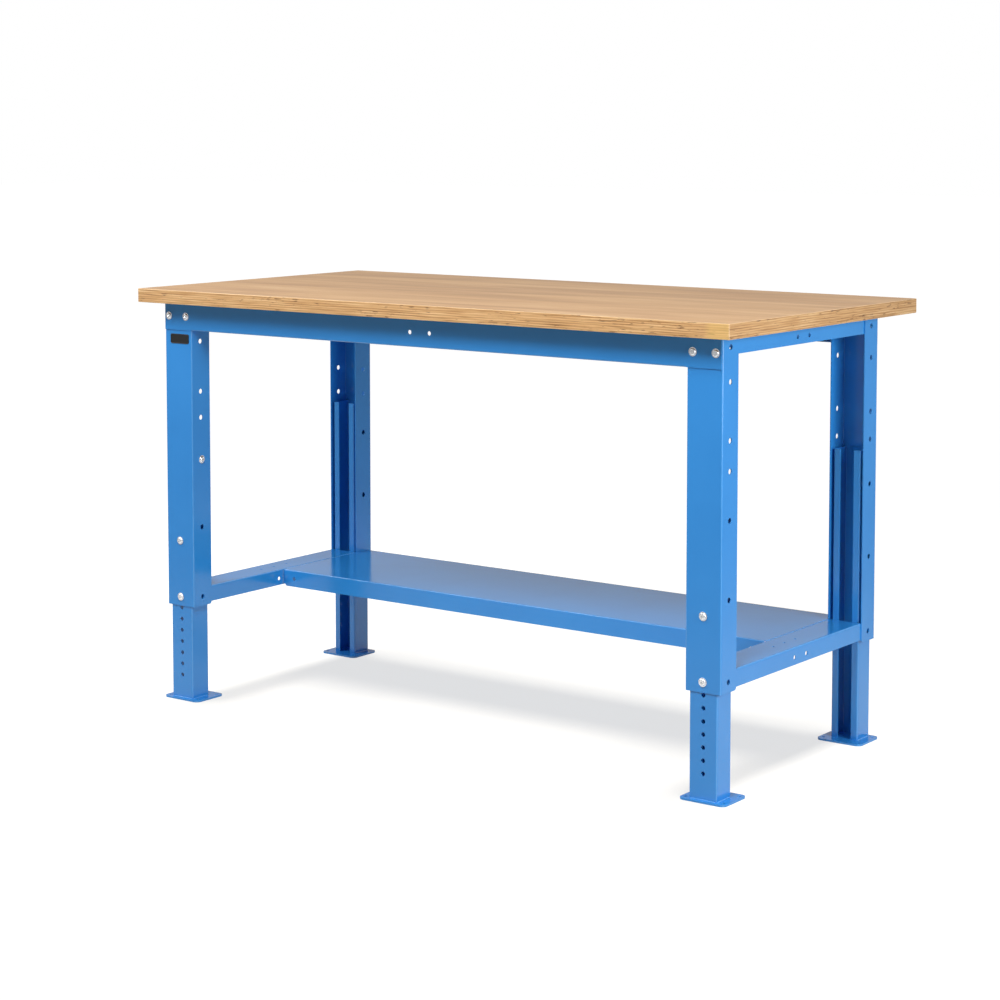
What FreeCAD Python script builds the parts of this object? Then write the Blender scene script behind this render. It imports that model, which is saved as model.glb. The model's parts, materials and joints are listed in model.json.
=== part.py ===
import FreeCAD, Part
import math
import os

# Height adjustable workbench: a plywood worktop on a folded sheet steel frame.
# Four open uprights carry the frame, and a lipped leg slides inside each one.
# Units are millimetres. X runs along the length, -Y is the front, Z is up from the floor.

os.makedirs("parts", exist_ok=True)
V = FreeCAD.Vector

# ---- Overall sizes ----
bench_length = 1500.0
bench_depth = 750.0
bench_height = 910.0
worktop_thickness = 30.0
worktop_edge_radius = 1.5

# ---- Frame ----
sheet = 2.0                     # steel sheet of uprights, legs and rails
bend_radius = 1.0               # inner radius of every fold
upright_length = 670.0
upright_width = 78.0            # across the web, along X
upright_depth = 56.0            # along Y
end_overhang = 39.0             # worktop past the uprights at each end
front_overhang = 44.0
rear_overhang = 95.0
upright_corner_radius = 6.0     # lower corners of the upright's flanges

# ---- Long rails on the outer faces of the uprights ----
long_rail_height = 60.0
long_rail_flange = 25.0
long_rail_end_inset = 2.0
long_rail_flange_gap = 1.5      # between a folded flange and the upright beside it
rail_bolt_spacing = 50.0
middle_hole_spacing = 50.0

# ---- Side rails between front and rear uprights ----
side_rail_height = 35.0
lower_rail_lift = 5.0           # lower side rail above the upright's lower end
side_rail_hole_drop = 20.0      # holes in the sides, below the rail's top
side_hole_spacing = 46.0
top_hole_spacing = 43.0
tab_end_inset = 13.0            # tab end, behind the upright's outer face
tab_drop = 6.0                  # tab top, below the rail's top
leg_to_rail_gap = 2.7

# ---- Telescoping legs ----
leg_web_gap = 0.3               # between the leg's web and the upright's web
leg_side_gap = 6.5
leg_back_room = 5.0             # how much shallower the leg is than the upright
leg_lip = 15.0
leg_hole_pitch = 25.0
lock_spacing_steps = 5          # hole pitches between the two lock bolts
steps_up = 5                    # hole pitches the bench can still be raised
leg_hole_floor_room = 40.0      # least height of a leg hole above the foot plate
leg_top_room = 100.0            # above the leg when the bench is at its lowest
foot_bolt_level = 20.0          # lower lock bolt above the upright's lower end

# ---- Foot plates ----
foot_width = 102.0
foot_depth = 86.0
foot_thickness = 4.0
foot_corner_radius = 12.0
foot_shift = 10.0               # plate centre past the leg's centre, towards the middle
foot_hole_spacing_x = 82.0
foot_hole_spacing_y = 58.0
foot_hole_diameter = 7.0

# ---- Holes in the upright's flanges, from its lower and its upper end ----
flange_hole_diameter = 11.0
flange_holes_from_foot = (20.0, 175.0, 325.0)
flange_holes_from_top = (20.0, 85.0, 195.0, 252.5)

# ---- Shelf ----
shelf_sheet = 1.5
shelf_front_from_middle = 9.5   # front edge, ahead of the frame's middle line
shelf_rear_gap = 12.0           # rear edge to the outer face of the rear uprights
shelf_flange = 38.0
shelf_end_flange = 33.0
shelf_notch_gap = 1.0           # notch at each rear corner, clear of the upright
shelf_end_flange_gap = 1.0      # end flange, clear of the fold of the front flange
shelf_hole_inset = 33.0
shelf_bolt_inset = 63.0         # bolts from the shelf's front and rear edges
shelf_corner_cut = 8.0

# ---- Fasteners ----
bolt_diameter = 8.0
bolt_hole_diameter = 9.0
bolt_flange_diameter = 17.5
bolt_flange_thickness = 1.2
bolt_dome_diameter = 14.0
bolt_dome_height = 3.2
bolt_crown_radius = 3.3         # flat top around the socket
bolt_dome_bulge = 0.9           # how far the dome stands out from a plain cone, along X and Z
bolt_socket_width = 5.0
bolt_socket_depth = 2.6
bolt_past_nut = 1.5
bolt_tip_chamfer = 0.8
nut_width = 13.0
nut_thickness = 6.5
thin_nut_thickness = 4.0
thin_bolt_past_nut = 0.8
nut_chamfer = 0.9
nut_face_edge = 0.1             # round of a nut's face, inside its flats
screw_diameter = 4.8
screw_hole_diameter = 5.5
screw_head_diameter = 10.0
screw_head_height = 3.2
screw_length = 24.0
screw_head_edge_radius = 1.2
screw_point = 5.0
screw_tip_radius = 0.3
screw_slot_width = 1.2
screw_slot_depth = 1.4
rail_screw_end_inset = 134.0    # end screws of a long rail, from the upright beside them
rail_screw_middle_spacing = 340.0

# ---- Badge ----
badge_width = 54.0
badge_height = 21.0
badge_thickness = 1.0
badge_corner_radius = 4.0
badge_drop = 69.0               # badge top, below the upright's top
badge_shift = 4.5               # badge centre past the upright's centre

# ---- Positions worked out from the sizes ----
worktop_under = bench_height - worktop_thickness
upright_foot = worktop_under - upright_length
outer_x = bench_length / 2 - end_overhang
inner_x = outer_x - upright_width
upright_x = outer_x - upright_width / 2
front_y = -bench_depth / 2 + front_overhang
rear_y = bench_depth / 2 - rear_overhang
middle_y = (front_y + rear_y) / 2
flange_hole_y = front_y + upright_depth / 2

lock_low = upright_foot + foot_bolt_level
lock_high = lock_low + lock_spacing_steps * leg_hole_pitch
steps_down = int((lock_low - foot_thickness - leg_hole_floor_room) // leg_hole_pitch)
leg_top = worktop_under - steps_down * leg_hole_pitch - leg_top_room
leg_front = front_y + sheet + leg_web_gap
leg_depth = upright_depth - leg_back_room
leg_width = upright_width - 2 * sheet - 2 * leg_side_gap

rail_outer_x = outer_x - sheet
rail_inner_x = inner_x + sheet
rail_bolt_z = worktop_under - long_rail_height / 2
lower_rail_top = upright_foot + lower_rail_lift + side_rail_height
shelf_front = middle_y - shelf_front_from_middle
shelf_rear = rear_y - shelf_rear_gap
shelf_bolt_z = lower_rail_top - side_rail_hole_drop


# ---- Small building helpers ----
def block(x0, x1, y0, y1, z0, z1):
    return Part.makeBox(x1 - x0, y1 - y0, z1 - z0, V(x0, y0, z0))


def hole(diameter, start, direction, length):
    return Part.makeCylinder(diameter / 2, length, start, direction)


def hole_along_y(diameter, x, z, y0, y1):
    return hole(diameter, V(x, y0, z), V(0, 1, 0), y1 - y0)


def hole_along_x(diameter, y, z, x0, x1):
    return hole(diameter, V(x0, y, z), V(1, 0, 0), x1 - x0)


def hole_along_z(diameter, x, y, z0, z1):
    return hole(diameter, V(x, y, z0), V(0, 0, 1), z1 - z0)


def rounded_run(points, radius):
    """Edges along a run of points, with an arc of the given radius at each turn."""
    edges = []
    start = points[0]
    for before, corner, after in zip(points, points[1:], points[2:]):
        back = (before - corner).normalize()
        ahead = (after - corner).normalize()
        arc_start = corner + back * radius
        arc_end = corner + ahead * radius
        centre = corner + back * radius + ahead * radius
        arc_middle = centre + (corner - centre).normalize() * radius
        edges.append(Part.LineSegment(start, arc_start).toShape())
        edges.append(Part.Arc(arc_start, arc_middle, arc_end).toShape())
        start = arc_end
    edges.append(Part.LineSegment(start, points[-1]).toShape())
    return edges


def folded_sheet(outer, inside, thickness, along):
    """A folded sheet: the outer face follows the points, every fold turns a right angle.

    inside is a point on the inner side, along is the direction and length of the fold.
    """
    middle = V(inside)
    inner = []
    for i, point in enumerate(outer):
        shift = V(0, 0, 0)
        for j in (i - 1, i):
            if 0 <= j < len(outer) - 1:
                side = (outer[j + 1] - outer[j]).cross(along).normalize()
                if side.dot(middle - outer[j]) < 0:
                    side = side * -1
                shift = shift + side * thickness
        inner.append(point + shift)
    edges = rounded_run(outer, bend_radius + thickness)
    edges.append(Part.LineSegment(outer[-1], inner[-1]).toShape())
    edges += rounded_run(inner[::-1], bend_radius)
    edges.append(Part.LineSegment(inner[0], outer[0]).toShape())
    wire = Part.Wire(Part.__sortEdges__(edges))
    return Part.Face(wire).extrude(along)


def cut_all(shape, cutters):
    return shape.cut(Part.makeCompound(cutters)) if cutters else shape


def round_edges(shape, radius, wanted):
    edges = [e for e in shape.Edges if wanted(e)]
    return shape.makeFillet(radius, edges)


def mirror_x(shape):
    return shape.mirror(V(0, 0, 0), V(1, 0, 0))


def mirror_y(shape):
    return shape.mirror(V(0, middle_y, 0), V(0, 1, 0))


def at_four_corners(name, shape):
    """The same piece at each corner, mirrored from the front left one."""
    return {
        name + "_front_left": shape,
        name + "_front_right": mirror_x(shape),
        name + "_rear_left": mirror_y(shape),
        name + "_rear_right": mirror_x(mirror_y(shape)),
    }


def at_two_ends(name, shape):
    return {name + "_left": shape, name + "_right": mirror_x(shape)}


def place(shape, position, direction):
    """Turn a fastener built along +Z so that its head points along direction."""
    placed = shape.copy()
    placed.Placement = FreeCAD.Placement(position, FreeCAD.Rotation(V(0, 0, 1), direction))
    return placed


# ---- Fasteners, built along Z with the seat of the head at zero ----
def hexagon(width, z0, height):
    radius = width / math.sqrt(3)
    points = [
        V(radius * math.cos(math.radians(60 * i)), radius * math.sin(math.radians(60 * i)), z0)
        for i in range(6)
    ]
    return Part.Face(Part.makePolygon(points + points[:1])).extrude(V(0, 0, height))


def button_bolt(length):
    top = bolt_flange_thickness + bolt_dome_height
    shank = bolt_diameter / 2
    shoulder = V(bolt_dome_diameter / 2, 0, bolt_flange_thickness)
    crown = V(bolt_crown_radius, 0, top)
    bulge = (shoulder + crown) * 0.5 + V(bolt_dome_bulge, 0, bolt_dome_bulge)
    edges = Part.makePolygon([
        crown,
        V(0, 0, top),
        V(0, 0, -length),
        V(shank - bolt_tip_chamfer, 0, -length),
        V(shank, 0, -length + bolt_tip_chamfer),
        V(shank, 0, 0),
        V(bolt_flange_diameter / 2, 0, 0),
        V(bolt_flange_diameter / 2, 0, bolt_flange_thickness),
        shoulder,
    ]).Edges
    edges.append(Part.Arc(shoulder, bulge, crown).toShape())
    outline = Part.Wire(Part.__sortEdges__(edges))
    body = Part.Face(outline).revolve(V(0, 0, 0), V(0, 0, 1), 360)
    socket = hexagon(bolt_socket_width, top - bolt_socket_depth, bolt_socket_depth + 1)
    return body.cut(socket)


def hex_nut(thickness):
    """A nut that hangs below zero, with both outer edges chamfered and a plain bore."""
    body = hexagon(nut_width, -thickness, thickness)
    corner = nut_width / math.sqrt(3) + nut_face_edge
    rim = nut_width / 2 - nut_face_edge
    outline = Part.makePolygon([
        V(0, 0, 0),
        V(rim, 0, 0),
        V(corner, 0, -nut_chamfer),
        V(corner, 0, -thickness + nut_chamfer),
        V(rim, 0, -thickness),
        V(0, 0, -thickness),
        V(0, 0, 0),
    ])
    rounded = Part.Face(outline).revolve(V(0, 0, 0), V(0, 0, 1), 360)
    bore = hole(bolt_diameter, V(0, 0, -thickness - 1), V(0, 0, 1), thickness + 2)
    return body.common(rounded).cut(bore)


def wood_screw():
    """A slotted pan head screw that points up, with the seat of its head at zero."""
    head = Part.makeCylinder(screw_head_diameter / 2, screw_head_height, V(0, 0, -screw_head_height))
    head = round_edges(
        head, screw_head_edge_radius,
        lambda e: abs(e.CenterOfMass.z + screw_head_height) < 0.01,
    )
    shank = Part.makeCylinder(screw_diameter / 2, screw_length - screw_point)
    point_seat = V(0, 0, screw_length - screw_point)
    point = Part.makeCone(screw_diameter / 2, screw_tip_radius, screw_point, point_seat)
    slot = block(
        -screw_head_diameter, screw_head_diameter,
        -screw_slot_width / 2, screw_slot_width / 2,
        -screw_head_height - 1, -screw_head_height + screw_slot_depth,
    )
    return head.fuse(shank).fuse(point).cut(slot).removeSplitter()


# ---- Pieces ----
def screw_places():
    """Every wood screw's X, Y: three in each upper side rail, a row in each long rail."""
    spots = []
    for x in (-upright_x, upright_x):
        for step in (-1, 0, 1):
            spots.append((x, middle_y + step * top_hole_spacing))
    for y in (front_y + long_rail_flange / 2, rear_y - long_rail_flange / 2):
        for x in (inner_x - rail_screw_end_inset, rail_screw_middle_spacing / 2):
            spots.append((-x, y))
            spots.append((x, y))
    return spots


def make_worktop():
    half_length = bench_length / 2
    half_depth = bench_depth / 2
    slab = block(-half_length, half_length, -half_depth, half_depth, worktop_under, bench_height)
    slab = slab.makeFillet(worktop_edge_radius, slab.Edges)
    bottom = worktop_under - 1
    pilot_top = worktop_under - sheet + screw_length - screw_point
    pilots = []
    for x, y in screw_places():
        pilots.append(hole_along_z(screw_diameter, x, y, bottom, pilot_top))
        tip = Part.makeCone(screw_diameter / 2, screw_tip_radius, screw_point, V(x, y, pilot_top))
        pilots.append(tip)
    return cut_all(slab, pilots)


def make_worktop_screws():
    screw = wood_screw()
    seat = worktop_under - sheet
    return Part.makeCompound([place(screw, V(x, y, seat), V(0, 0, 1)) for x, y in screw_places()])


def make_upright():
    """Front left upright: a channel whose web faces forward and whose mouth faces back."""
    z = upright_foot
    outer = [
        V(-outer_x, front_y + upright_depth, z),
        V(-outer_x, front_y, z),
        V(-inner_x, front_y, z),
        V(-inner_x, front_y + upright_depth, z),
    ]
    inside = V(-upright_x, front_y + upright_depth / 2, z)
    body = folded_sheet(outer, inside, sheet, V(0, 0, upright_length))
    body = round_edges(
        body, upright_corner_radius,
        lambda e: abs(e.CenterOfMass.y - front_y - upright_depth) < 0.01
        and abs(e.CenterOfMass.z - upright_foot) < 0.01
        and abs(e.Length - sheet) < 0.01,
    )
    cutters = []
    for x in (-upright_x - rail_bolt_spacing / 2, -upright_x + rail_bolt_spacing / 2):
        cutters.append(hole_along_y(bolt_hole_diameter, x, rail_bolt_z, front_y - 1, front_y + sheet + 1))
    for level in (lock_low, lock_high):
        cutters.append(
            hole_along_y(bolt_hole_diameter, -upright_x, level, front_y - 1, front_y + sheet + 1)
        )
    levels = [upright_foot + h for h in flange_holes_from_foot]
    levels += [worktop_under - h for h in flange_holes_from_top]
    for level in levels:
        cutters.append(
            hole_along_x(flange_hole_diameter, flange_hole_y, level, -outer_x - 1, -inner_x + 1)
        )
    return cut_all(body, cutters)


def make_inner_leg():
    """Front left leg: a lipped channel with a column of height holes in its web."""
    z = foot_thickness
    left = -upright_x - leg_width / 2
    right = -upright_x + leg_width / 2
    back = leg_front + leg_depth
    outer = [
        V(left + leg_lip, back, z),
        V(left, back, z),
        V(left, leg_front, z),
        V(right, leg_front, z),
        V(right, back, z),
        V(right - leg_lip, back, z),
    ]
    inside = V(-upright_x, leg_front + leg_depth / 2, z)
    body = folded_sheet(outer, inside, sheet, V(0, 0, leg_top - z))
    holes = []
    for step in range(-steps_down, lock_spacing_steps + steps_up + 1):
        level = lock_low + step * leg_hole_pitch
        holes.append(
            hole_along_y(bolt_hole_diameter, -upright_x, level, leg_front - 1, leg_front + sheet + 1)
        )
    return cut_all(body, holes)


def make_foot_plate():
    x = -upright_x
    y = leg_front + leg_depth / 2 + foot_shift
    plate = block(
        x - foot_width / 2, x + foot_width / 2,
        y - foot_depth / 2, y + foot_depth / 2,
        0, foot_thickness,
    )
    plate = round_edges(plate, foot_corner_radius, lambda e: abs(e.Length - foot_thickness) < 0.01)
    holes = []
    for sx in (-1, 1):
        for sy in (-1, 1):
            hx = x + sx * foot_hole_spacing_x / 2
            hy = y + sy * foot_hole_spacing_y / 2
            holes.append(hole_along_z(foot_hole_diameter, hx, hy, -1, foot_thickness + 1))
    return cut_all(plate, holes)


def make_front_rail():
    """A channel on the front of the uprights, with flanges only between them."""
    face_y = front_y - sheet
    low = worktop_under - long_rail_height
    half = inner_x - long_rail_flange_gap
    outer = [
        V(-half, face_y + long_rail_flange, low),
        V(-half, face_y, low),
        V(-half, face_y, worktop_under),
        V(-half, face_y + long_rail_flange, worktop_under),
    ]
    inside = V(-half, face_y + long_rail_flange / 2, rail_bolt_z)
    channel = folded_sheet(outer, inside, sheet, V(2 * half, 0, 0))
    end = outer_x - long_rail_end_inset
    plate = block(-end, end, face_y, front_y, low + bend_radius + sheet, worktop_under - bend_radius - sheet)
    ends = [
        block(-end, -half, face_y, front_y, low, worktop_under),
        block(half, end, face_y, front_y, low, worktop_under),
    ]
    body = channel.fuse([plate] + ends).removeSplitter()
    cutters = []
    for side in (-1, 1):
        for spread in (-rail_bolt_spacing / 2, rail_bolt_spacing / 2):
            x = side * upright_x + spread
            cutters.append(hole_along_y(bolt_hole_diameter, x, rail_bolt_z, face_y - 1, front_y + 1))
        x = side * middle_hole_spacing / 2
        cutters.append(hole_along_y(bolt_hole_diameter, x, rail_bolt_z, face_y - 1, front_y + 1))
    for x, y in screw_places():
        if y < middle_y - upright_depth and abs(x) < inner_x:
            cutters.append(
                hole_along_z(screw_hole_diameter, x, y, worktop_under - sheet - 1, worktop_under + 1)
            )
    return cut_all(body, cutters)


def make_side_rail(top):
    """Left side rail: an upside down channel whose ends are tabs inside the uprights."""
    low = top - side_rail_height
    start = front_y + tab_end_inset
    end = rear_y - tab_end_inset
    outer = [
        V(-rail_outer_x, start, low),
        V(-rail_outer_x, start, top),
        V(-rail_inner_x, start, top),
        V(-rail_inner_x, start, low),
    ]
    body = folded_sheet(outer, V(-upright_x, start, low), sheet, V(0, end - start, 0))
    top_start = leg_front + leg_depth + leg_to_rail_gap
    top_end = rear_y - (top_start - front_y)
    cutters = [
        block(-outer_x, -inner_x, start - 1, top_start, top - tab_drop, top + 1),
        block(-outer_x, -inner_x, top_end, end + 1, top - tab_drop, top + 1),
    ]
    hole_z = top - side_rail_hole_drop
    for y in (middle_y - side_hole_spacing / 2, middle_y + side_hole_spacing / 2):
        cutters.append(hole_along_x(bolt_hole_diameter, y, hole_z, -outer_x, -inner_x))
    for y in (flange_hole_y, rear_y - upright_depth / 2):
        cutters.append(hole_along_x(flange_hole_diameter, y, hole_z, -outer_x, -inner_x))
    for step in (-1, 0, 1):
        y = middle_y + step * top_hole_spacing
        cutters.append(hole_along_z(screw_hole_diameter, -upright_x, y, top - sheet - 1, top + 1))
    return cut_all(body, cutters)


def shelf_bolt_rows():
    return (shelf_front + shelf_bolt_inset, shelf_rear - shelf_bolt_inset)


def make_lower_side_rail():
    """A side rail with two more holes in its inner side, for the bolts of the shelf."""
    holes = []
    for y in shelf_bolt_rows():
        holes.append(
            hole_along_x(bolt_hole_diameter, y, shelf_bolt_z, -rail_inner_x - sheet - 1, -rail_inner_x + 1)
        )
    return cut_all(make_side_rail(lower_rail_top), holes)


def make_shelf():
    """A tray of thin sheet, folded down on all four sides, between the lower side rails."""
    top = lower_rail_top
    half = rail_inner_x
    fold = bend_radius + shelf_sheet
    notch_front = rear_y - upright_depth - shelf_notch_gap
    notch_half = inner_x - shelf_notch_gap
    end_front = shelf_front + fold + shelf_end_flange_gap
    outer = [
        V(-notch_half, shelf_front, top - shelf_flange),
        V(-notch_half, shelf_front, top),
        V(-notch_half, shelf_rear, top),
        V(-notch_half, shelf_rear, top - shelf_flange),
    ]
    inside = V(-notch_half, middle_y, top - shelf_flange)
    body = folded_sheet(outer, inside, shelf_sheet, V(2 * notch_half, 0, 0))
    deck_half = notch_half - fold
    for side in (-1, 1):
        lip = [
            V(side * deck_half, end_front, top),
            V(side * half, end_front, top),
            V(side * half, end_front, top - shelf_end_flange),
        ]
        under = V(side * deck_half, end_front, top - shelf_end_flange)
        body = body.fuse(folded_sheet(lip, under, shelf_sheet, V(0, notch_front - end_front, 0)))
    body = body.removeSplitter()
    cutters = []
    for side in (-1, 1):
        corner = [
            V(side * (notch_half + 1), shelf_front - 1, top - shelf_flange - 1),
            V(side * (notch_half - shelf_corner_cut), shelf_front - 1, top - shelf_flange - 1),
            V(side * (notch_half + 1), shelf_front - 1, top - shelf_flange + shelf_corner_cut),
        ]
        wedge = Part.Face(Part.makePolygon(corner + corner[:1]))
        cutters.append(wedge.extrude(V(0, shelf_rear - shelf_front + 2, 0)))
        x = side * (rail_inner_x - shelf_hole_inset)
        cutters.append(
            hole_along_y(bolt_hole_diameter, x, shelf_bolt_z, shelf_front - 1, shelf_front + shelf_sheet + 1)
        )
        start = side * (rail_inner_x - shelf_sheet - 1)
        for y in shelf_bolt_rows():
            cutters.append(
                hole(bolt_hole_diameter, V(start, y, shelf_bolt_z), V(side, 0, 0), shelf_sheet + 2)
            )
    return cut_all(body, cutters)


def make_rail_bolts(nuts):
    grip = 2 * sheet
    pieces = []
    for x in (-upright_x - rail_bolt_spacing / 2, -upright_x + rail_bolt_spacing / 2):
        if nuts:
            pieces.append(place(hex_nut(nut_thickness), V(x, front_y + sheet, rail_bolt_z), V(0, -1, 0)))
        else:
            bolt = button_bolt(grip + nut_thickness + bolt_past_nut)
            pieces.append(place(bolt, V(x, front_y - sheet, rail_bolt_z), V(0, -1, 0)))
    return Part.makeCompound(pieces)


def make_lock_bolts(nuts):
    grip = 2 * sheet + 2 * leg_web_gap
    pieces = []
    for level in (lock_low, lock_high):
        if nuts:
            seat = V(-upright_x, front_y + grip, level)
            pieces.append(place(hex_nut(nut_thickness), seat, V(0, -1, 0)))
        else:
            bolt = button_bolt(grip + nut_thickness + bolt_past_nut)
            pieces.append(place(bolt, V(-upright_x, front_y, level), V(0, -1, 0)))
    return Part.makeCompound(pieces)


def make_shelf_bolts(nuts):
    """Left end: heads inside the shelf, nuts inside the hollow of the side rail."""
    grip = shelf_sheet + sheet
    pieces = []
    for y in shelf_bolt_rows():
        if nuts:
            seat = V(-rail_inner_x - sheet, y, shelf_bolt_z)
            pieces.append(place(hex_nut(nut_thickness), seat, V(1, 0, 0)))
        else:
            bolt = button_bolt(grip + nut_thickness + bolt_past_nut)
            pieces.append(place(bolt, V(-rail_inner_x + shelf_sheet, y, shelf_bolt_z), V(1, 0, 0)))
    return Part.makeCompound(pieces)


def make_bonding_bolt():
    length = sheet + thin_nut_thickness + thin_bolt_past_nut
    level = upright_foot + flange_holes_from_foot[-1]
    return place(button_bolt(length), V(-inner_x, flange_hole_y, level), V(1, 0, 0))


def make_bonding_nut():
    level = upright_foot + flange_holes_from_foot[-1]
    return place(hex_nut(thin_nut_thickness), V(-inner_x - sheet, flange_hole_y, level), V(1, 0, 0))


def make_badge():
    x = -upright_x + badge_shift
    top = worktop_under - badge_drop
    plate = block(
        x - badge_width / 2, x + badge_width / 2,
        front_y - badge_thickness, front_y,
        top - badge_height, top,
    )
    return round_edges(plate, badge_corner_radius, lambda e: abs(e.Length - badge_thickness) < 0.01)


# ---- Every node of the bench ----
front_rail = make_front_rail()
nodes = {
    "worktop": make_worktop(),
    "worktop_screws": make_worktop_screws(),
    "front_rail": front_rail,
    "rear_rail": mirror_y(front_rail),
    "shelf": make_shelf(),
    "bonding_bolt": make_bonding_bolt(),
    "bonding_nut": make_bonding_nut(),
    "badge": make_badge(),
}
nodes.update(at_two_ends("upper_side_rail", make_side_rail(worktop_under)))
nodes.update(at_two_ends("lower_side_rail", make_lower_side_rail()))
nodes.update(at_two_ends("shelf_bolts", make_shelf_bolts(nuts=False)))
nodes.update(at_two_ends("shelf_nuts", make_shelf_bolts(nuts=True)))
nodes.update(at_four_corners("upright", make_upright()))
nodes.update(at_four_corners("inner_leg", make_inner_leg()))
nodes.update(at_four_corners("foot_plate", make_foot_plate()))
nodes.update(at_four_corners("rail_bolts", make_rail_bolts(nuts=False)))
nodes.update(at_four_corners("rail_nuts", make_rail_bolts(nuts=True)))
nodes.update(at_four_corners("lock_bolts", make_lock_bolts(nuts=False)))
nodes.update(at_four_corners("lock_nuts", make_lock_bolts(nuts=True)))

for name, shape in nodes.items():
    shape.exportStep("parts/" + name + ".step")
    box = shape.BoundBox
    print(f"{name:28s} {len(shape.Solids)} solids, valid {shape.isValid()}, "
          f"x {box.XMin:.1f}..{box.XMax:.1f} y {box.YMin:.1f}..{box.YMax:.1f} "
          f"z {box.ZMin:.1f}..{box.ZMax:.1f}, {shape.Volume / 1000:.1f} cm3")
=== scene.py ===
# %% [markdown]
# # A height adjustable workbench
#
# The bench is a thick plywood top on a frame of folded sheet steel. Every piece already
# exists as an exact CAD part: the rails, the four open uprights, the legs that slide in
# them, the shelf and each bolt. This lesson gives those pieces their real finishes, adds
# the small things that a welder and a moulder leave behind, and lights the result.

# %% Load the frame and keep its size
import json
import math

import bmesh
import bpy
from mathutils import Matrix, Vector


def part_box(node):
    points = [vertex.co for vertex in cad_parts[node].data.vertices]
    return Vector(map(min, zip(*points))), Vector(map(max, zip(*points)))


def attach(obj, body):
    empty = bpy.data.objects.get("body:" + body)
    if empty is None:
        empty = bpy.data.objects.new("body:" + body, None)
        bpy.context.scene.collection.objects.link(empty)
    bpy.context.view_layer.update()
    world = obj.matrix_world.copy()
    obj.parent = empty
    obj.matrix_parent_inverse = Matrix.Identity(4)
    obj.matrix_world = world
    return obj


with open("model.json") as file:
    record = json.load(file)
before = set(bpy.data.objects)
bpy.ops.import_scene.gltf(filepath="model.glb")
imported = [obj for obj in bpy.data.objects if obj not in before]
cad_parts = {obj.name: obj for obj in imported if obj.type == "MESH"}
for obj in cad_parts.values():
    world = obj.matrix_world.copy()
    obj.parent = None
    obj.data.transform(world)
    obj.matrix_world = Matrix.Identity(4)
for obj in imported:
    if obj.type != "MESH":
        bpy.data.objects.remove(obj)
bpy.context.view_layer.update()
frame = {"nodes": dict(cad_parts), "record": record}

nodes = frame["nodes"]
MM = 0.001


# %% [markdown]
# ## Colours and nodes
#
# Paint and timber colours are chosen as sRGB hex, the way a colour card gives them, but
# shaders add and multiply light, so each hex is turned to linear once, by one function.
# A second small function adds any node: its settings, what feeds its inputs and, on a
# ramp, its stops. It keeps the recipes below short enough to read.

# %% Two helpers for every material
def hex_colour(text):
    """An sRGB hex such as #4A98E0 as linear red, green, blue and full alpha."""
    values = [int(text[i:i + 2], 16) / 255 for i in (1, 3, 5)]
    linear = [v / 12.92 if v <= 0.04045 else ((v + 0.055) / 1.055) ** 2.4 for v in values]
    return (*linear, 1.0)


def add(tree, kind, inputs=None, stops=(), **settings):
    """Adds a node. A setting names a property or an input; inputs take a socket or a value."""
    node = tree.nodes.new("ShaderNode" + kind)
    for name, value in settings.items():
        if hasattr(node, name):
            setattr(node, name, value)
        else:
            node.inputs[name.replace("_", " ")].default_value = value
    for place, source in (inputs or {}).items():
        if isinstance(source, bpy.types.NodeSocket):
            tree.links.new(source, node.inputs[place])
        else:
            node.inputs[place].default_value = source
    for i, (position, colour) in enumerate(stops):
        element = node.color_ramp.elements[i] if i < 2 else node.color_ramp.elements.new(position)
        element.position = position
        element.color = hex_colour(colour)
    return node


print("paint blue in linear light:", [round(v, 3) for v in hex_colour("#1A82D0")[:3]])


# %% [markdown]
# A new material already holds one Principled shader. Two more things are wanted by every
# finish here: the place of a point on the piece, in metres, so that patterns keep their
# real size, and a mark for rounded places. A fold or an edge is where the surface faces
# none of the three main ways, so one minus the largest part of its normal finds it.

# %% A material to start from
FOLD_AT_45 = 1 - math.sqrt(0.5)   # what is left of the normal half way round a fold


def new_material(name):
    """A material, its tree, its shader and the socket that gives a point's place."""
    material = bpy.data.materials.new(name)
    material.use_nodes = True
    tree = material.node_tree
    place = add(tree, "TexCoord").outputs["Object"]
    return material, tree, tree.nodes["Principled BSDF"], place


def rounded_places(tree):
    """0 on flat faces that look along an axis, 1 half way round a fold or an edge."""
    normal = add(tree, "NewGeometry").outputs["Normal"]
    size = add(tree, "VectorMath", {0: normal}, operation="ABSOLUTE").outputs["Vector"]
    axes = add(tree, "SeparateXYZ", {0: size}).outputs
    most = add(tree, "Math", {0: axes["X"], 1: axes["Y"]}, operation="MAXIMUM").outputs[0]
    most = add(tree, "Math", {0: most, 1: axes["Z"]}, operation="MAXIMUM").outputs[0]
    return add(tree, "MapRange", {"Value": most}, From_Min=1.0, From_Max=1 - FOLD_AT_45).outputs[0]


print("a fold's middle leaves", round(FOLD_AT_45, 3))


# %% [markdown]
# ## The blue powder coat
#
# The steel is sprayed with dry polyester powder and baked. The film flows as it melts, so
# it is smooth and glossy but never flat: a low swell stays, a few millimetres across,
# that is called orange peel. The colour is even, because the pigment is in the powder,
# and the gloss drifts a little over a hand's width, with the thickness of the film. Round
# a fold the blue is painted paler: a painted highlight, for the line of light that a
# rounded fold catches.

# %% Powder coated steel
COAT_SWELL = 4 * MM      # one swell of the orange peel
COAT_GRIT = 0.6 * MM     # what is left of the powder's own grain
COAT_DRIFT = 180 * MM
GRIT_SHARE = 0.12        # of the swell's height
FOLD_HIGHLIGHT_SHARE = 0.5       # how far a fold goes towards its painted highlight
COAT_ROUGHNESS = (0.13, 0.19)
COAT_IOR = 1.5


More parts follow.
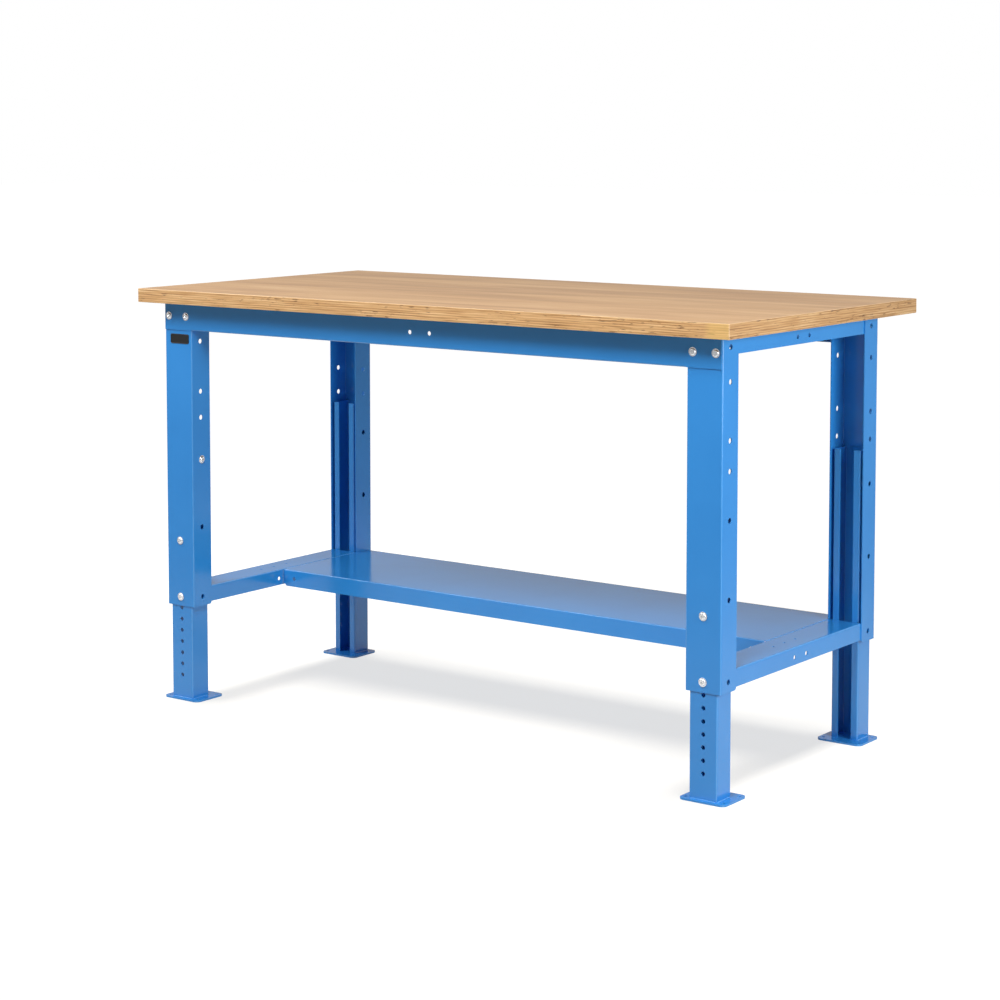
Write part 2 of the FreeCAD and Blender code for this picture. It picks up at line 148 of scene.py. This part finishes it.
def powder_coat(name, deep, bright, fold):
    material, tree, shader, place = new_material(name)
    swell = add(tree, "TexNoise", {"Vector": place}, Scale=1 / COAT_SWELL, Detail=1.0).outputs["Fac"]
    grit = add(tree, "TexNoise", {"Vector": place}, Scale=1 / COAT_GRIT, Detail=1.0).outputs["Fac"]
    drift = add(tree, "TexNoise", {"Vector": place}, Scale=1 / COAT_DRIFT, Detail=3.0).outputs["Fac"]
    height = add(tree, "Math", {0: grit, 1: GRIT_SHARE, 2: swell}, operation="MULTIPLY_ADD").outputs[0]
    bump = add(tree, "Bump", {"Height": height}, Strength=0.1, Distance=0.08 * MM)
    tree.links.new(bump.outputs["Normal"], shader.inputs["Normal"])

    even = add(tree, "ValToRGB", {"Fac": drift}, [(0.3, deep), (0.7, bright)]).outputs["Color"]
    # painted highlight: each fold is painted towards a paler blue, for the light a rounded fold catches
    fold_highlight = add(tree, "Math", {0: rounded_places(tree), 1: FOLD_HIGHLIGHT_SHARE}, operation="MULTIPLY").outputs[0]
    colour = add(tree, "Mix", {0: fold_highlight, 6: even, 7: hex_colour(fold)}, data_type="RGBA").outputs[2]
    tree.links.new(colour, shader.inputs["Base Color"])

    low, high = COAT_ROUGHNESS
    rough = add(tree, "MapRange", {"Value": drift}, From_Min=0.3, From_Max=0.7, To_Min=low, To_Max=high)
    tree.links.new(rough.outputs["Result"], shader.inputs["Roughness"])
    shader.inputs["IOR"].default_value = COAT_IOR
    return material


# the last colour is the painted highlight along the folds
blue_coat = powder_coat("powder_coated_steel_blue", "#2B87D4", "#318DDA", "#74B4EC")
print("finish:", blue_coat.name)


# %% [markdown]
# ## The plywood top
#
# The top is multiplex plywood: sheets of peeled beech veneer glued with the grain turned
# at each layer. One material serves the whole board. It looks at which way a face points
# to choose between the face veneer and the layers of the edge, so the corners agree
# without any unwrapping.
#
# The face veneer was peeled off a turning log. Its figure is long wandering bands, with
# fine streaks and short pores along them. A noise that is stretched along the board
# draws each of them, at its own real length and width.

# %% Face veneer
BOARD_LOW, BOARD_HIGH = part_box("worktop")
FACE_STOPS = [(0.36, "#B4895C"), (0.47, "#C69968"), (0.55, "#CFA370"), (0.66, "#DBB180")]


def along_grain(tree, place, length, width, thickness=None, **noise):
    """A noise whose marks have this length along X, and this width and thickness."""
    size = (1 / length, 1 / width, 1 / (thickness or width))
    scaled = add(tree, "VectorMath", {0: place, 1: size}, operation="MULTIPLY").outputs["Vector"]
    return add(tree, "TexNoise", {"Vector": scaled}, Scale=1.0, **noise).outputs["Fac"]


def face_veneer(tree, place):
    """The colour and the height of the face, from bands, streaks and pores."""
    bands = along_grain(tree, place, 620 * MM, 75 * MM, Detail=2.0, Distortion=0.6)
    streaks = along_grain(tree, place, 190 * MM, 4 * MM, Detail=4.0, Roughness=0.6)
    pores = along_grain(tree, place, 12 * MM, 0.9 * MM, Detail=1.0)
    tone = add(tree, "Mix", {0: 0.42, 2: bands, 3: streaks}).outputs[0]
    wood = add(tree, "ValToRGB", {"Fac": tone}, FACE_STOPS).outputs["Color"]
    dark = add(tree, "MapRange", {"Value": pores}, From_Min=0.66, From_Max=0.75, To_Max=0.3).outputs[0]
    colour = add(tree, "Mix", {0: dark, 6: wood, 7: hex_colour("#946C42")}, data_type="RGBA").outputs[2]
    height = add(tree, "Math", {0: streaks, 1: dark}, operation="SUBTRACT").outputs[0]
    return colour, height


print("face veneer, from", FACE_STOPS[0][1], "to", FACE_STOPS[-1][1])


# %% [markdown]
# The edge shows the layers. One is cut along its grain and is pale and stringy, the next
# is cut across and is darker, and the glue lines between them hold short dark gaps where
# a veneer was split. Real layers are about 1.5 mm, too fine to show from across a room,
# so they are drawn at 2.3 mm, and the gaps, half a millimetre in life, are drawn about a
# millimetre high. The gaps come in groups, where a poor sheet was used.

# %% Layers of the edge
PLY = 2.3 * MM
GAP_LENGTH = 22 * MM
GAP_HEIGHT = 2.4 * MM
END_GRAIN = 0.84     # the short sides soak up more lacquer and turn out darker
PALE_STOPS = [(0.3, "#B98E5C"), (0.5, "#D8AC78"), (0.7, "#E9C695")]
BROWN_STOPS = [(0.3, "#96693D"), (0.5, "#C2925E"), (0.7, "#D9AE7B")]


def ply_edge(tree, place, normal):
    """The colour and the height of the board's sides."""
    z = add(tree, "SeparateXYZ", {0: place}).outputs["Z"]
    wander = along_grain(tree, place, 260 * MM, 260 * MM, 60 * MM, Detail=0.0)
    layer = add(tree, "Math", {0: z, 1: 1 / PLY, 2: wander}, operation="MULTIPLY_ADD").outputs[0]
    half = add(tree, "Math", {0: layer, 1: 0.5}, operation="MULTIPLY").outputs[0]
    turn = add(tree, "Math", {0: half}, operation="FRACT").outputs[0]
    odd = add(tree, "Math", {0: turn, 1: 0.5}, operation="GREATER_THAN").outputs[0]
    facing = add(tree, "SeparateXYZ", {0: normal}).outputs["Y"]
    front = add(tree, "Math", {0: facing}, operation="ABSOLUTE").outputs[0]
    front = add(tree, "Math", {0: front, 1: 0.5}, operation="GREATER_THAN").outputs[0]
    cut = add(tree, "Math", {0: odd, 1: front}, operation="SUBTRACT").outputs[0]
    cut = add(tree, "Math", {0: cut}, operation="ABSOLUTE").outputs[0]
    strings = along_grain(tree, place, 80 * MM, 80 * MM, 1.8 * MM, Detail=2.0, Roughness=0.6)
    pale = add(tree, "ValToRGB", {"Fac": strings}, PALE_STOPS).outputs["Color"]
    brown = add(tree, "ValToRGB", {"Fac": strings}, BROWN_STOPS).outputs["Color"]
    wood = add(tree, "Mix", {0: cut, 6: pale, 7: brown}, data_type="RGBA").outputs[2]

    gaps = along_grain(tree, place, GAP_LENGTH, GAP_LENGTH, GAP_HEIGHT, Detail=2.0)
    group = along_grain(tree, place, 170 * MM, 170 * MM, 12 * MM, Detail=1.0)
    chance = add(tree, "Math", {0: group, 1: 0.42, 2: gaps}, operation="MULTIPLY_ADD").outputs[0]
    gap = add(tree, "MapRange", {"Value": chance}, From_Min=0.85, From_Max=0.92, To_Max=0.85).outputs[0]
    soaked = add(tree, "MapRange", {"Value": front}, To_Min=END_GRAIN, To_Max=1.0).outputs[0]
    wood = add(tree, "VectorMath", {0: wood, "Scale": soaked}, operation="SCALE").outputs["Vector"]
    colour = add(tree, "Mix", {0: gap, 6: wood, 7: hex_colour("#5E3A1E")}, data_type="RGBA").outputs[2]
    height = add(tree, "Math", {0: gap, 1: -1.5, 2: strings}, operation="MULTIPLY_ADD").outputs[0]
    return colour, height


print("layers drawn:", round((BOARD_HIGH.z - BOARD_LOW.z) / PLY))


# %% [markdown]
# The board is sanded, its edges are eased and it gets a satin lacquer. The eased edges
# are painted pale, a painted highlight for the light their rounding catches, and near one
# corner of the front edge a smooth honey-coloured length was let in where the layers had
# broken out.

# %% Lacquered beech multiplex
REPAIR_LENGTH = 54 * MM
REPAIR_FADE = 16 * MM
REPAIR_STRENGTH = 0.6
LACQUER_IOR = 1.48


def beech_multiplex(name):
    material, tree, shader, place = new_material(name)
    normal = add(tree, "NewGeometry").outputs["Normal"]
    face, face_height = face_veneer(tree, place)
    edge, edge_height = ply_edge(tree, place, normal)
    x = add(tree, "SeparateXYZ", {0: place}).outputs["X"]
    start = BOARD_HIGH.x - REPAIR_LENGTH
    end = BOARD_HIGH.x - 1 * MM
    faded = start + REPAIR_FADE
    after = add(tree, "MapRange", {"Value": x}, From_Min=start, From_Max=faded, To_Max=REPAIR_STRENGTH)
    before = add(tree, "Math", {0: x, 1: end}, operation="LESS_THAN").outputs[0]
    repair = add(tree, "Math", {0: after.outputs[0], 1: before}, operation="MULTIPLY").outputs[0]
    edge = add(tree, "Mix", {0: repair, 6: edge, 7: hex_colour("#E0B870")}, data_type="RGBA").outputs[2]

    up = add(tree, "SeparateXYZ", {0: normal}).outputs["Z"]
    up = add(tree, "Math", {0: up}, operation="ABSOLUTE").outputs[0]
    flat = add(tree, "MapRange", {"Value": up}, From_Min=0.6, From_Max=0.8).outputs[0]
    wood = add(tree, "Mix", {0: flat, 6: edge, 7: face}, data_type="RGBA").outputs[2]
    # painted highlight: the eased edges are painted a pale honey colour, for the light their rounding
    # catches
    edge_highlight = add(tree, "Math", {0: rounded_places(tree), 1: 0.7}, operation="MULTIPLY").outputs[0]
    wood = add(tree, "Mix", {0: edge_highlight, 6: wood, 7: hex_colour("#F0D6AC")}, data_type="RGBA").outputs[2]
    tree.links.new(wood, shader.inputs["Base Color"])

    height = add(tree, "Mix", {0: flat, 2: edge_height, 3: face_height}).outputs[0]
    bump = add(tree, "Bump", {"Height": height}, Strength=0.3, Distance=0.15 * MM)
    tree.links.new(bump.outputs["Normal"], shader.inputs["Normal"])
    dull = add(tree, "MapRange", {"Value": face_height}, From_Min=0.3, From_Max=0.7, To_Min=0.5, To_Max=0.4)
    tree.links.new(dull.outputs["Result"], shader.inputs["Roughness"])
    shader.inputs["IOR"].default_value = LACQUER_IOR
    return material


plywood = beech_multiplex("beech_multiplex_lacquered")
print("finish:", plywood.name)


# %% [markdown]
# ## Zinc plate
#
# Bolts, nuts and screws are bright zinc plated steel. To light zinc is a true metal: its
# colour is all in the reflection, a faint cool grey. The barrel that plates thousands of
# bolts at once also tumbles them, which leaves fine scratches every way and dull patches.

# %% Bright zinc
DULL_PATCH = 3 * MM
FINE_SCRATCH = 0.4 * MM


def bright_zinc(name):
    material, tree, shader, place = new_material(name)
    patch = add(tree, "TexNoise", {"Vector": place}, Scale=1 / DULL_PATCH, Detail=3.0).outputs["Fac"]
    scratch = add(tree, "TexNoise", {"Vector": place}, Scale=1 / FINE_SCRATCH, Detail=2.0)
    colour = add(tree, "ValToRGB", {"Fac": patch}, [(0.3, "#D8DADE"), (0.7, "#F2F3F4")]).outputs["Color"]
    tree.links.new(colour, shader.inputs["Base Color"])
    rough = add(tree, "MapRange", {"Value": patch}, From_Min=0.3, From_Max=0.7, To_Min=0.26, To_Max=0.16)
    tree.links.new(rough.outputs["Result"], shader.inputs["Roughness"])
    bump = add(tree, "Bump", {"Height": scratch.outputs["Fac"]}, Strength=0.2, Distance=0.03 * MM)
    tree.links.new(bump.outputs["Normal"], shader.inputs["Normal"])
    shader.inputs["Metallic"].default_value = 1.0
    return material


zinc = bright_zinc("bright_zinc_plated_steel")
print("finish:", zinc.name)


# %% [markdown]
# ## The black badge
#
# The badge is moulded ABS. The mould was spark eroded, which leaves a fine even grain
# that takes the shine off black. The badge is blank here.

# %% Satin ABS
MOULD_GRAIN = 0.4 * MM
ABS_ROUGHNESS = 0.34
ABS_IOR = 1.53


def satin_abs(name, dark, light):
    material, tree, shader, place = new_material(name)
    grain = add(tree, "TexNoise", {"Vector": place}, Scale=1 / MOULD_GRAIN, Detail=2.0).outputs["Fac"]
    colour = add(tree, "ValToRGB", {"Fac": grain}, [(0.35, dark), (0.65, light)]).outputs["Color"]
    tree.links.new(colour, shader.inputs["Base Color"])
    bump = add(tree, "Bump", {"Height": grain}, Strength=0.25, Distance=0.05 * MM)
    tree.links.new(bump.outputs["Normal"], shader.inputs["Normal"])
    shader.inputs["Roughness"].default_value = ABS_ROUGHNESS
    shader.inputs["IOR"].default_value = ABS_IOR
    return material


black_abs = satin_abs("moulded_abs_black", "#060709", "#0D0E11")
print("finish:", black_abs.name)


# %% [markdown]
# ## Dressing the pieces
#
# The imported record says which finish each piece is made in, so the loop reads that
# instead of a list typed twice. Each piece keeps its own shape and place.

# %% Give each CAD piece its finish
finish_of = {
    "plywood": plywood,
    "blue_powder_coat": blue_coat,
    "zinc_steel": zinc,
    "badge_black": black_abs,
}
for part in frame["record"]["subparts"]:
    piece = nodes[part["node"]]
    piece.data.materials.clear()
    piece.data.materials.append(finish_of[part["material_slot"]])


# %% [markdown]
# ## Weld beads
#
# A leg stands on its foot plate on a fillet weld. A bead is a row of small overlapping
# ripples, one for each time the welder moves the arc on. It is made here as a tube along
# the joint, whose radius swells and shrinks as the ripples do and tapers at both ends.
# The paint covers it, so it takes the same blue, and it rides on its own leg.

# %% A rippled bead along a line
BEAD = 1.9 * MM
RIPPLE = 2.6 * MM
BEAD_SIDES = 10
END_INSET = 3 * MM       # from a corner of the leg to the end of a bead
BEAD_LIFT = 0.2 * MM     # its middle above the foot plate


def bead_radius(t, length):
    """The bead's radius at a share t of its length."""
    taper = min(1.0, math.sqrt(min(t, 1 - t) * length / (2 * BEAD)) + 0.15)
    return BEAD * taper * (1 + 0.1 * abs(math.sin(math.pi * t * length / RIPPLE)))


def lay_bead(mesh, start, end):
    """Adds one bead from start to end to a bmesh."""
    along = (end - start).normalized()
    side = along.orthogonal().normalized()
    up = along.cross(side)
    length = (end - start).length
    rings = int(4 * length / RIPPLE)
    last = None
    for i in range(rings + 1):
        centre = start.lerp(end, i / rings)
        radius = bead_radius(i / rings, length)
        ring = []
        for k in range(BEAD_SIDES):
            angle = 2 * math.pi * k / BEAD_SIDES
            ring.append(mesh.verts.new(centre + radius * (side * math.cos(angle) + up * math.sin(angle))))
        for k in range(BEAD_SIDES if last else 0):
            after = (k + 1) % BEAD_SIDES
            mesh.faces.new((last[k], last[after], ring[after], ring[k]))
        if i in (0, rings):
            mesh.faces.new(ring)
        last = ring


print("a bead is", 2 * BEAD / MM, "mm wide, rippled every", RIPPLE / MM, "mm")


# %% [markdown]
# Each leg has three beads, on its web and on its two sides. They are one piece per leg,
# because one weld is one thing.

# %% Foot welds
def foot_weld(corner):
    leg_low, leg_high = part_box("inner_leg_" + corner)
    z = leg_low.z + BEAD_LIFT
    web_y = leg_low.y if corner.startswith("front") else leg_high.y
    mesh = bmesh.new()
    low, high = leg_low.x + END_INSET, leg_high.x - END_INSET
    lay_bead(mesh, Vector((low, web_y, z)), Vector((high, web_y, z)))
    low, high = leg_low.y + END_INSET, leg_high.y - END_INSET
    for x in (leg_low.x, leg_high.x):
        lay_bead(mesh, Vector((x, low, z)), Vector((x, high, z)))
    bmesh.ops.recalc_face_normals(mesh, faces=mesh.faces)
    data = bpy.data.meshes.new("foot_weld_" + corner)
    mesh.to_mesh(data)
    mesh.free()
    data.polygons.foreach_set("use_smooth", [True] * len(data.polygons))
    data.materials.append(blue_coat)
    weld = bpy.data.objects.new("foot_weld_" + corner, data)
    bpy.context.scene.collection.objects.link(weld)
    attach(weld, "leg_" + corner)
    return weld


welds = [foot_weld(corner) for corner in ("front_left", "front_right", "rear_left", "rear_right")]
print("foot welds:", [weld.name for weld in welds])


# %% [markdown]
# ## The rim of the badge
#
# A moulded badge has a thin raised rim that protects its face. A curve with a small round
# section suits it: the rim is a rounded rectangle just inside the badge's own edge.

# %% Badge rim
RIM_INSET = 0.8 * MM
RIM_RADIUS = 3.3 * MM
RIM_THICKNESS = 1 * MM
ARC_STEPS = 6


def rounded_rectangle(low, high, y, radius):
    """Points around a rounded rectangle that faces along Y."""
    points = []
    for quarter, (sx, sz) in enumerate(((1, 1), (-1, 1), (-1, -1), (1, -1))):
        cx = high.x - radius if sx > 0 else low.x + radius
        cz = high.z - radius if sz > 0 else low.z + radius
        for k in range(ARC_STEPS + 1):
            angle = math.radians(90 * (quarter + k / ARC_STEPS))
            points.append(Vector((cx + radius * math.cos(angle), y, cz + radius * math.sin(angle))))
    return points


badge_low, badge_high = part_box("badge")
inset = Vector((RIM_INSET, 0, RIM_INSET))
path = rounded_rectangle(badge_low + inset, badge_high - inset, badge_low.y, RIM_RADIUS)
curve = bpy.data.curves.new("badge_rim", "CURVE")
curve.dimensions = "3D"
curve.bevel_depth = RIM_THICKNESS / 2
curve.bevel_resolution = 3
spline = curve.splines.new("POLY")
spline.points.add(len(path) - 1)
for point, spot in zip(spline.points, path):
    point.co = (*spot, 1)
spline.use_cyclic_u = True
curve.materials.append(black_abs)
rim = bpy.data.objects.new("badge_rim", curve)
bpy.context.scene.collection.objects.link(rim)
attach(rim, "bench_frame")
print("badge rim:", len(path), "points")


# %% [markdown]
# ## Studio floor
#
# The bench stands on a seamless white sweep. White paper in a real studio is lit until
# it prints as pure white, but then every other colour would burn out too. So the floor
# itself is a mid grey that catches the shadow, and a glow lifts it to white. The grey is
# a little warm, which evens out the blue that the paint throws into the shadow. Away from
# the bench the glow alone is full white, so no line shows where the floor ends. Mirrors
# and clear things see the same sweep, a little greyer far off, where fewer lamps reach
# it, and what lights the bench from below is only what white paper would throw back.

# %% What each kind of ray meets
def by_ray(tree, camera, mirror, light):
    """One strength for the camera, one for glossy and clear things, one for plain light."""
    rays = add(tree, "LightPath").outputs
    pair = {0: rays["Is Glossy Ray"], 1: rays["Is Transmission Ray"]}
    shiny = add(tree, "Math", pair, operation="MAXIMUM").outputs[0]
    rest = add(tree, "Mix", {0: shiny, 2: light, 3: mirror}).outputs[0]
    return add(tree, "Mix", {0: rays["Is Camera Ray"], 2: rest, 3: camera}).outputs[0]


print("ray kinds told apart: camera, glossy or transmission, and the rest")


# %% Floor
FLOOR_GLOW = 0.72
PAPER_BOUNCE = 0.2
FAR_IN_MIRRORS = 0.45
GLOW_NEAR = 1.1      # metres from the middle of the bench
GLOW_FAR = 2.2


def studio_floor():
    material, tree, shader, place = new_material("studio_floor_white")
    shader.inputs["Base Color"].default_value = hex_colour("#7F7C76")
    shader.inputs["Roughness"].default_value = 0.9
    shader.inputs["Specular IOR Level"].default_value = 0.0
    away = add(tree, "VectorMath", {0: place}, operation="LENGTH").outputs["Value"]
    rise = add(tree, "MapRange", {"Value": away}, From_Min=GLOW_NEAR, From_Max=GLOW_FAR).outputs[0]
    camera = add(tree, "Mix", {0: rise, 2: FLOOR_GLOW, 3: 1.0}).outputs[0]
    mirror = add(tree, "Mix", {0: rise, 2: FLOOR_GLOW, 3: FAR_IN_MIRRORS}).outputs[0]
    glow = add(tree, "Emission", {"Strength": by_ray(tree, camera, mirror, PAPER_BOUNCE)})
    both = add(tree, "AddShader", {0: shader.outputs[0], 1: glow.outputs[0]})
    tree.links.new(both.outputs[0], tree.nodes["Material Output"].inputs["Surface"])
    bpy.ops.mesh.primitive_plane_add(size=60)
    floor = bpy.context.object
    floor.name = "studio_floor"
    floor.data.materials.append(material)
    return floor


floor = studio_floor()
print("floor glow:", FLOOR_GLOW, "near the bench")


# %% [markdown]
# The world is the white room around the sweep. Its light on the bench is kept low, so
# that folds, channels and the space under the top stay as deep as they are in life.
# Glossy paint and zinc mirror a room whose walls are greyer than its bright ceiling.

# %% World
AMBIENT = 0.13
WALLS = 0.55         # how bright a mirror shows the walls, against a white ceiling
world = bpy.data.worlds.new("studio_room")
bpy.context.scene.world = world
world.use_nodes = True
room = world.node_tree
toward = add(room, "TexCoord").outputs["Generated"]
height = add(room, "SeparateXYZ", {0: toward}).outputs["Z"]
mirror = add(room, "MapRange", {"Value": height}, From_Min=0.2, From_Max=0.6, To_Min=WALLS).outputs[0]
room.links.new(by_ray(room, 1.0, mirror, AMBIENT), room.nodes["Background"].inputs["Strength"])
room.nodes["Background"].inputs["Color"].default_value = (1, 1, 1, 1)
print("ambient light:", AMBIENT)


# %% [markdown]
# ## Soft boxes
#
# Three boxes light the bench. One stands low and close at the right, so the faces that
# look right are bright near it and fade along the bench. One at the far left, higher,
# models the fronts. The third hangs high at the front: from there the overhang of the
# top shades the rail under it, and the rear legs stay dark inside.
#
# The floor has two lamps of its own. Light linking lets them reach only the floor and
# leaves the worktop out of what casts their shadow, so the sweep shows a plain soft
# shadow of the shelf and the side rails, right under them. They are narrow along the
# bench and long across it: the thin side rails keep a shadow, and the shelf's is soft.

# %% Lamps
def soft_box(name, spot, aim, size, watts, spread=180):
    """A lamp of this width and height that looks at a point. Spread is its beam, in degrees."""
    data = bpy.data.lights.new(name, "AREA")
    data.shape = "RECTANGLE"
    data.size, data.size_y = size
    data.energy = watts
    data.spread = math.radians(spread)
    lamp = bpy.data.objects.new(name, data)
    lamp.location = spot
    lamp.rotation_mode = "QUATERNION"
    lamp.rotation_quaternion = (Vector(aim) - Vector(spot)).to_track_quat("-Z", "Y")
    bpy.context.scene.collection.objects.link(lamp)
    return lamp


def linked_set(name, member, state):
    """A collection for light linking that includes or excludes one object."""
    group = bpy.data.collections.new(name)
    group.objects.link(member)
    group.collection_objects[0].light_linking.link_state = state
    return group


right_box = soft_box("right_box", (2.1, -0.3, 0.95), (0.7, -0.1, 0.5), (0.9, 0.9), 21)
left_box = soft_box("left_box", (-2.0, -1.6, 2.3), (-0.4, 0.0, 0.5), (1.4, 1.4), 23, 130)
front_box = soft_box("front_box", (0.85, -2.0, 2.8), (0.1, 0.0, 0.5), (1.1, 1.1), 68)
all_but_floor = linked_set("all_but_floor", floor, "EXCLUDE")
for lamp in (right_box, left_box, front_box):
    lamp.light_linking.receiver_collection = all_but_floor

floor_only = linked_set("floor_only", floor, "INCLUDE")
all_but_worktop = linked_set("all_but_worktop", nodes["worktop"], "EXCLUDE")
for side, x in (("left", -1.15), ("right", 1.15)):
    lamp = soft_box("floor_box_" + side, (x, 0.0, 2.6), (x, 0.0, 0.0), (0.7, 2.1), 50, 90)
    lamp.light_linking.receiver_collection = floor_only
    lamp.light_linking.blocker_collection = all_but_worktop


# %% [markdown]
# ## Camera
#
# A long lens from beyond the front right corner, a little above the top, keeps the long
# edges nearly parallel. The lens is shifted down on its mount, as an architect's camera
# does it: the camera itself stays nearly level, so upright lines stay upright.

# %% Camera
AZIMUTH = math.radians(36.4)
ELEVATION = math.radians(4.45)
SPOT = (2.981, -4.102, 1.290)
LENS = 86.12         # millimetres, on a frame 36 mm wide
LENS_SHIFT = -0.2
camera_data = bpy.data.cameras.new("camera")
camera_data.sensor_width = 36
camera_data.lens = LENS
camera_data.shift_y = LENS_SHIFT
camera_data.clip_end = 200
camera = bpy.data.objects.new("camera", camera_data)
level = math.cos(ELEVATION)
back = Vector((math.sin(AZIMUTH) * level, -math.cos(AZIMUTH) * level, math.sin(ELEVATION)))
camera.location = SPOT
camera.rotation_mode = "QUATERNION"
camera.rotation_quaternion = (-back).to_track_quat("-Z", "Y")
bpy.context.scene.collection.objects.link(camera)
bpy.context.scene.camera = camera
bpy.context.scene.view_settings.view_transform = "Standard"
print("camera at", [round(v, 3) for v in camera.location], "lens", camera_data.lens)
